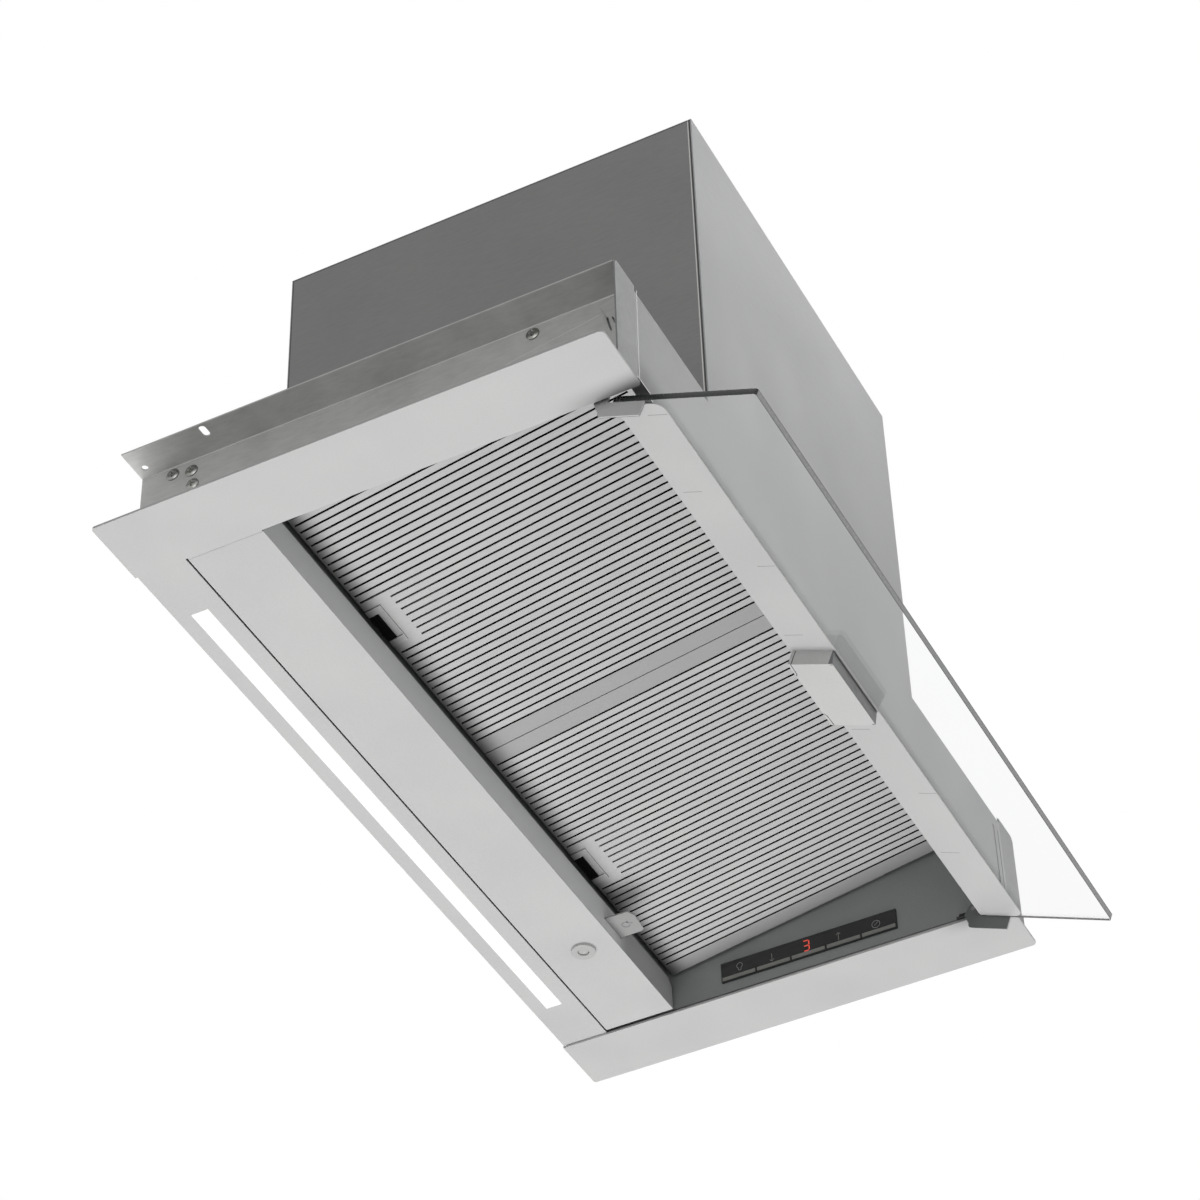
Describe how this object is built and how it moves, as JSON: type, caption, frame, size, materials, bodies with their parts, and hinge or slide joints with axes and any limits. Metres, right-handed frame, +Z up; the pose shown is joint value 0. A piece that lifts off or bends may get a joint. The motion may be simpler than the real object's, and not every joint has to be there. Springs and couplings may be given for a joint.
{
  "type": "integrated range hood",
  "caption": "Cabinet range hood with a pull-out glass visor, slotted grease filters, light panel, rear flap, side controls and a boxed fan with a round duct collar.",
  "frame": {"origin": "middle of the rectangle that the two end cover plates span, at their underside", "axes": "+X to the right along the hood's width, -Y to the front where the visor pulls out, +Z up"},
  "size_m": [0.598, 0.3763, 0.3855],
  "materials": {
    "galvanised": "galvanised steel, satin",
    "box_zinc": "galvanised steel, dull",
    "bracket_metal": "galvanised steel, bright",
    "cover_metal": "fine satin silver-grey paint",
    "inner_metal": "satin dark grey paint",
    "handle_metal": "satin silver-grey paint",
    "screw_steel": "zinc plated",
    "filter_metal": "anodised satin",
    "mesh_aluminium": "expanded metal",
    "rail_steel": "bare galvanised steel",
    "diffuser": "frosted",
    "led_white": "white board",
    "led_channel": "extruded",
    "black_plastic": "moulded",
    "black_gloss": "gloss",
    "key_plastic": "satin",
    "membrane_rubber": "matte",
    "board_green": "circuit board",
    "tab_metal": "satin",
    "visor_glass": "clear toughened",
    "impeller_plastic": "moulded",
    "motor_metal": "painted",
    "capacitor_plastic": "moulded"
  },
  "bodies": {
    "root": {"front_panel": "galvanised", "lower_shell": "galvanised", "motor_box_sides": "box_zinc", "motor_box_back": "box_zinc", "motor_box_top": "box_zinc", "side_bracket_left": "bracket_metal", "side_bracket_right": "bracket_metal", "bracket_screws": "screw_steel", "cover_plate_left": "cover_metal", "cover_plate_right": "cover_metal", "inner_wall_left": "inner_metal", "inner_wall_right": "inner_metal", "rear_channel": "inner_metal", "filter_front_rail": "rail_steel", "led_panel": "cover_metal", "led_diffuser": "diffuser", "led_board": "led_white", "led_housing": "led_channel", "glide_strips": "black_plastic", "control_fascia": "black_gloss", "control_board": "board_green", "key_membrane": "membrane_rubber", "flap_hinge_pins": "screw_steel", "scroll_housing": "rail_steel", "outlet_duct": "rail_steel", "motor": "motor_metal", "motor_bracket": "rail_steel", "run_capacitor": "capacitor_plastic", "duct_collar": "black_plastic", "backflow_pin": "screw_steel", "electronics_box": "black_plastic", "cable_gland": "black_plastic", "casing_screws": "screw_steel"},
    "visor_carriage": {"visor_runner_left": "black_plastic", "visor_runner_right": "black_plastic"},
    "visor": {"visor_strip": "cover_metal", "visor_glass": "visor_glass", "visor_handle": "handle_metal", "visor_arm_left": "handle_metal", "visor_arm_right": "handle_metal", "visor_pins": "screw_steel"},
    "rear_flap": {"flap_panel": "cover_metal", "flap_latch_guide": "black_plastic", "catch_bezel": "tab_metal"},
    "release_tab": {"flap_latch": "tab_metal"},
    "catch": {"catch_button": "tab_metal"},
    "grease_filter_left": {"filter_left": "filter_metal", "filter_mesh_left": "mesh_aluminium"},
    "grease_filter_right": {"filter_right": "filter_metal", "filter_mesh_right": "mesh_aluminium"},
    "latch_left": {"filter_latch_left": "black_plastic"},
    "latch_right": {"filter_latch_right": "black_plastic"},
    "fan_wheel": {"impeller": "impeller_plastic"},
    "backflow_left": {"backflow_flap_left": "black_plastic"},
    "backflow_right": {"backflow_flap_right": "black_plastic"},
    "button_light": {"key_light": "key_plastic"},
    "button_down": {"key_down": "key_plastic"},
    "button_power": {"key_power": "key_plastic"},
    "button_up": {"key_up": "key_plastic"},
    "button_timer": {"key_timer": "key_plastic"}
  },
  "joints": [
    {"name": "visor_slide", "type": "slide", "parent": "root", "child": "visor_carriage", "axis": [0, 1, 0], "range_m": [0, 0.072]},
    {"name": "visor_level", "type": "hinge", "parent": "visor_carriage", "child": "visor", "pos_m": [0, -0.13244, 0.00449], "axis": [1, 0, 0], "range_deg": [-22.3, 0]},
    {"name": "flap_swing", "type": "hinge", "parent": "root", "child": "rear_flap", "pos_m": [0, 0.1204, 0.0042], "axis": [1, 0, 0], "range_deg": [0, 80]},
    {"name": "release_tab_push", "type": "slide", "parent": "rear_flap", "child": "release_tab", "axis": [0, 1, 0], "range_m": [0, 0.005], "stiffness_N_per_m": 400, "springref_m": -0.001},
    {"name": "catch_press", "type": "slide", "parent": "rear_flap", "child": "catch", "axis": [0, 0, 1], "range_m": [0, 0.003], "stiffness_N_per_m": 400, "springref_m": -0.001},
    {"name": "filter_left_drop", "type": "hinge", "parent": "root", "child": "grease_filter_left", "pos_m": [0, -0.132, 0.0662], "axis": [-1, 0, 0], "range_deg": [0, 25]},
    {"name": "filter_right_drop", "type": "hinge", "parent": "root", "child": "grease_filter_right", "pos_m": [0, -0.132, 0.0662], "axis": [-1, 0, 0], "range_deg": [0, 4.4]},
    {"name": "latch_left_slide", "type": "slide", "parent": "grease_filter_left", "child": "latch_left", "axis": [0, -0.986, 0.1668], "range_m": [0, 0.004], "stiffness_N_per_m": 300, "springref_m": -0.001},
    {"name": "latch_right_slide", "type": "slide", "parent": "grease_filter_right", "child": "latch_right", "axis": [0, -0.986, 0.1668], "range_m": [0, 0.004], "stiffness_N_per_m": 300, "springref_m": -0.001},
    {"name": "fan_spin", "type": "hinge", "parent": "root", "child": "fan_wheel", "pos_m": [-0.023, -0.065, 0.16494], "axis": [1, 0, 0], "continuous": true},
    {"name": "backflow_left_open", "type": "hinge", "parent": "root", "child": "backflow_left", "pos_m": [-0.023, -0.017, 0.32], "axis": [0, 1, 0], "range_deg": [0, 75]},
    {"name": "backflow_right_open", "type": "hinge", "parent": "root", "child": "backflow_right", "pos_m": [-0.023, -0.017, 0.32], "axis": [0, 1, 0], "range_deg": [-75, 0]},
    {"name": "button_light_press", "type": "slide", "parent": "root", "child": "button_light", "axis": [1, 0, 0], "range_m": [0, 0.0004], "stiffness_N_per_m": 800, "springref_m": -0.0005},
    {"name": "button_down_press", "type": "slide", "parent": "root", "child": "button_down", "axis": [1, 0, 0], "range_m": [0, 0.0004], "stiffness_N_per_m": 800, "springref_m": -0.0005},
    {"name": "button_power_press", "type": "slide", "parent": "root", "child": "button_power", "axis": [1, 0, 0], "range_m": [0, 0.0004], "stiffness_N_per_m": 800, "springref_m": -0.0005},
    {"name": "button_up_press", "type": "slide", "parent": "root", "child": "button_up", "axis": [1, 0, 0], "range_m": [0, 0.0004], "stiffness_N_per_m": 800, "springref_m": -0.0005},
    {"name": "button_timer_press", "type": "slide", "parent": "root", "child": "button_timer", "axis": [1, 0, 0], "range_m": [0, 0.0004], "stiffness_N_per_m": 800, "springref_m": -0.0005}
  ],
  "couplings": [
    {"joint": "visor_level", "follows": "visor_slide", "rad_per_m": -5.4057},
    {"joint": "backflow_right_open", "follows": "backflow_left_open", "ratio": -1}
  ]
}
